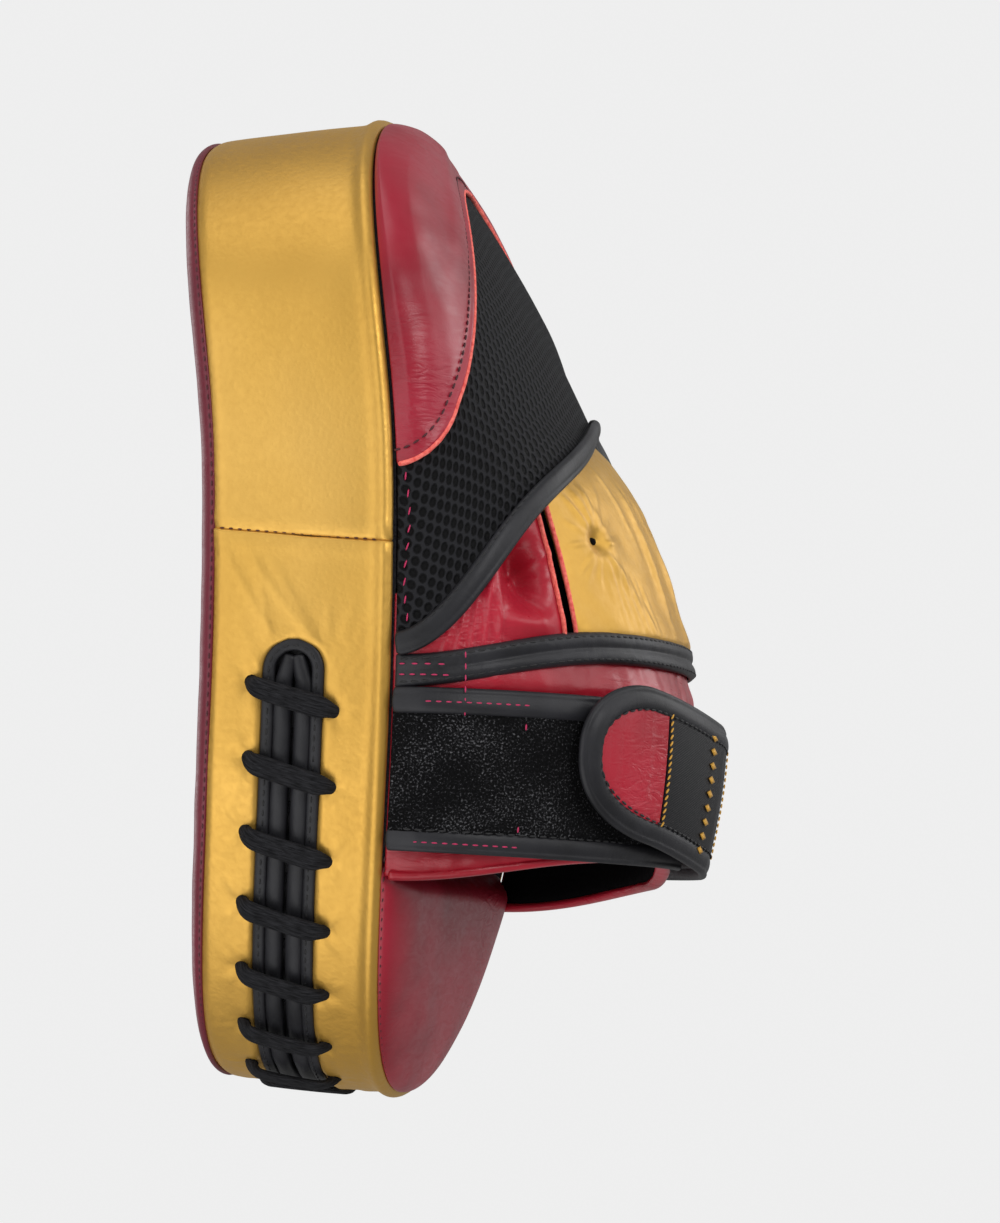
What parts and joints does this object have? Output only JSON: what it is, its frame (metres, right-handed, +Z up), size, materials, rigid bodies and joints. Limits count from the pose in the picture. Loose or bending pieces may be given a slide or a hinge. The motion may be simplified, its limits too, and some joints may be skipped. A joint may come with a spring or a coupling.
{
  "type": "focus mitt",
  "caption": "Curved boxing focus mitt: a laced leather foam pad with a mesh finger hood, a glove-like back, a cuff and a wrist strap whose hook-and-loop flap peels open.",
  "frame": {"origin": "the middle of the palm, on the pad's back panel under the hand pocket", "axes": "+Z up the mitt towards the fingertips, -Y out of the struck face, +Y towards the back of the wearer's hand, +X towards the laced side"},
  "size_m": [0.1854, 0.1493, 0.2782],
  "materials": {
    "maroon_leather": "glossy coated hide, fine grain, deep maroon",
    "gold_leather": "foil-coated metallic gold hide, satin",
    "black_leather": "semi-matte black hide",
    "black_textile": "matte black knitted and looped textile",
    "black_mesh": "black spacer mesh with a hexagonal cell",
    "foam": "closed-cell foam",
    "woven_lace": "flat woven black lace"
  },
  "bodies": {
    "mitt": {"strike_panel": "maroon_leather", "impact_foam": "foam", "gusset_upper": "gold_leather", "back_panel": "maroon_leather", "gusset_lower": "gold_leather", "lace_roll_front": "black_leather", "lace_roll_back": "black_leather", "lace": "woven_lace", "lace_tongue": "black_leather", "core_foam": "foam", "back_foam": "foam", "mesh_hood": "black_mesh", "hood_binding": "black_leather", "crown_overlay": "maroon_leather", "hand_panel": "gold_leather", "side_panel_near": "maroon_leather", "side_panel_far": "maroon_leather", "stretch_insert_near": "black_textile", "stretch_insert_far": "black_textile", "wrist_band": "black_leather", "cuff": "maroon_leather", "cuff_lining": "black_textile", "palm_lining": "black_textile", "palm_ball_core": "foam", "palm_ball_cover": "maroon_leather", "base_strap": "black_leather", "loop_tape": "black_textile", "base_binding_top": "black_leather", "base_binding_bottom": "black_leather", "anchor_strap": "black_leather", "anchor_binding_top": "black_leather", "anchor_binding_bottom": "black_leather", "slot_rim_front": "black_leather", "slot_rim_back": "black_leather"},
    "flap": {"flap_strap": "black_leather", "hook_tape": "black_textile", "flap_label": "black_textile", "flap_patch": "maroon_leather", "flap_binding": "black_leather"}
  },
  "joints": [
    {"name": "flap_peel", "type": "hinge", "parent": "mitt", "child": "flap", "pos_m": [-0.0274, 0.065, -0.0794], "axis": [-0.081, 0.1431, 0.9864], "range_deg": [0, 110]}
  ]
}
